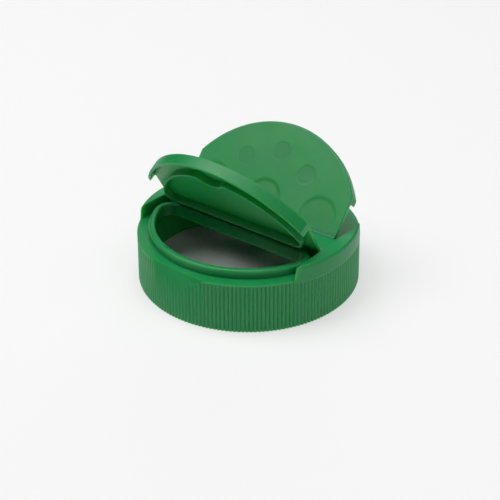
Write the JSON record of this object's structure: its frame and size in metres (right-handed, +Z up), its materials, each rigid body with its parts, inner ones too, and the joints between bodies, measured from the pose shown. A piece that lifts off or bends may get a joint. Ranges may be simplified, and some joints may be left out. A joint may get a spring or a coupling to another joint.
{
  "type": "dual-flap shaker cap",
  "caption": "Screw-on spice jar cap with a ribbed skirt and two flaps on living hinges, one over a D-shaped pour opening and one over shaker holes.",
  "frame": {"origin": "centre of the bottom rim of the skirt", "axes": "+Z up out of the jar, X along both hinges, pour flap on the -Y side and shaker flap on the +Y side"},
  "size_m": [0.0664, 0.0664, 0.0425],
  "materials": {
    "green_plastic": "moulded satin"
  },
  "bodies": {
    "base": {"cap_base": "green_plastic"},
    "pour_lid": {"pour_flap": "green_plastic"},
    "shaker_lid": {"shaker_flap": "green_plastic"}
  },
  "joints": [
    {"name": "pour_hinge", "type": "hinge", "parent": "base", "child": "pour_lid", "pos_m": [0, -0.004, 0.0177], "axis": [-1, 0, 0], "range_deg": [-60, 35]},
    {"name": "shaker_hinge", "type": "hinge", "parent": "base", "child": "shaker_lid", "pos_m": [0, 0.0042, 0.0177], "axis": [1, 0, 0], "range_deg": [-50, 45]}
  ]
}
